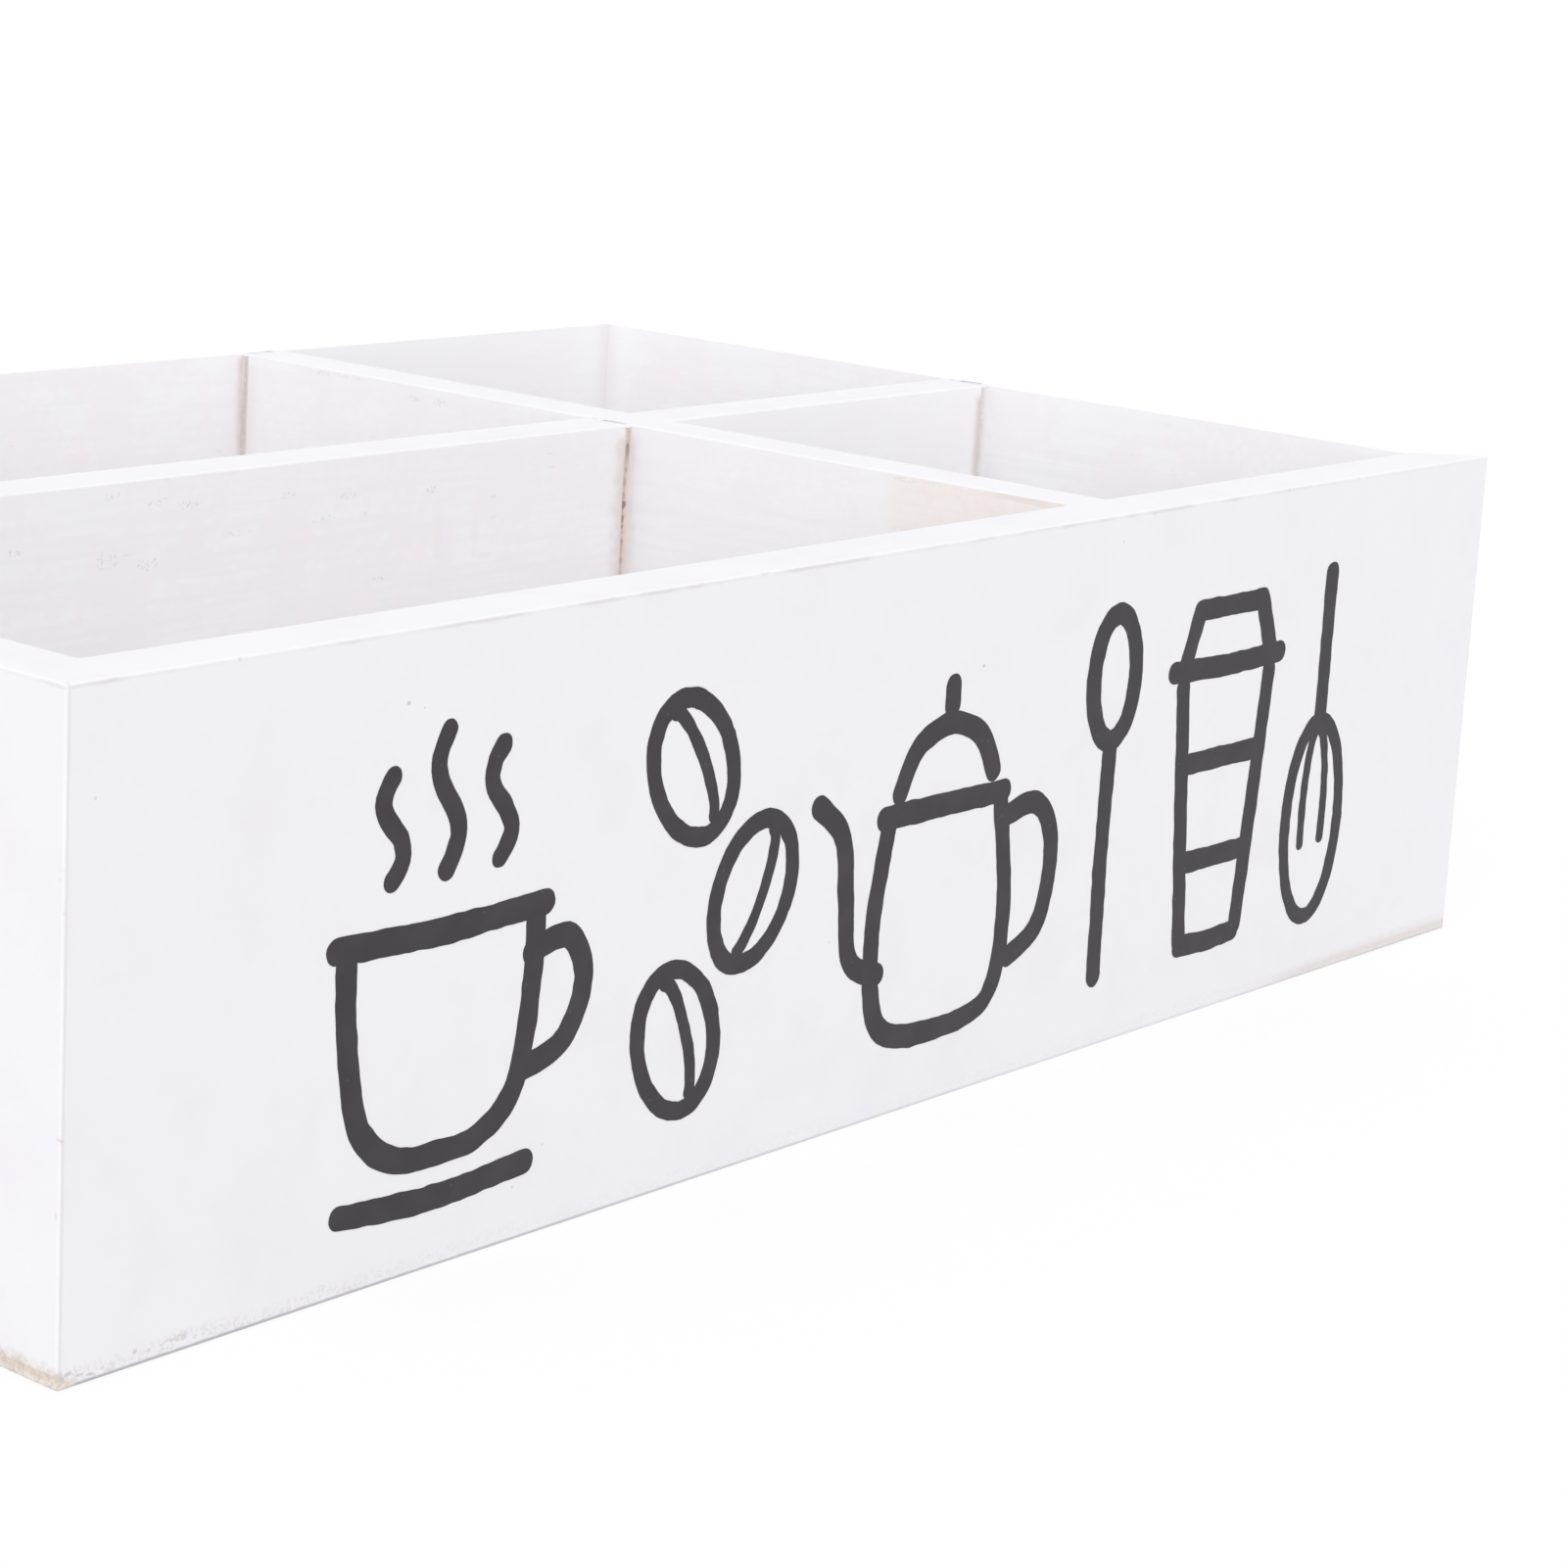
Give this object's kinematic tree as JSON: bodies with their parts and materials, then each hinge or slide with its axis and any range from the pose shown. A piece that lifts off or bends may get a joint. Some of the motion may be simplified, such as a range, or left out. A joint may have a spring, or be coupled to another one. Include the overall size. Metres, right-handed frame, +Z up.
{
  "type": "coffee station organizer",
  "caption": "Shallow white-painted wooden tray with mitred corners and crossed dividers that make two long and two short open compartments for coffee supplies.",
  "frame": {"origin": "middle of the underside, at the height of what the tray stands on", "axes": "+X along the length to the right as seen from the decorated front, +Y from the front to the back, +Z up"},
  "size_m": [0.296, 0.196, 0.08],
  "materials": {
    "painted_board": "matt white paint over wood",
    "painted_end_board": "matt white paint over wood",
    "painted_divider": "thin white wash, grain faintly showing",
    "painted_cross_divider": "thin white wash, grain faintly showing",
    "plywood_base": "raw plywood, white paint on the inside",
    "steel_brad": "zinc plated",
    "charcoal_paint": "matt charcoal print"
  },
  "bodies": {
    "root": {"front_board": "painted_board", "back_board": "painted_board", "left_end_board": "painted_end_board", "right_end_board": "painted_end_board", "long_divider": "painted_divider", "cross_divider": "painted_cross_divider", "base_panel": "plywood_base", "front_corner_brads": "steel_brad", "back_corner_brads": "steel_brad", "long_divider_brads": "steel_brad", "cross_divider_brads": "steel_brad", "base_brads": "steel_brad"}
  },
  "joints": []
}
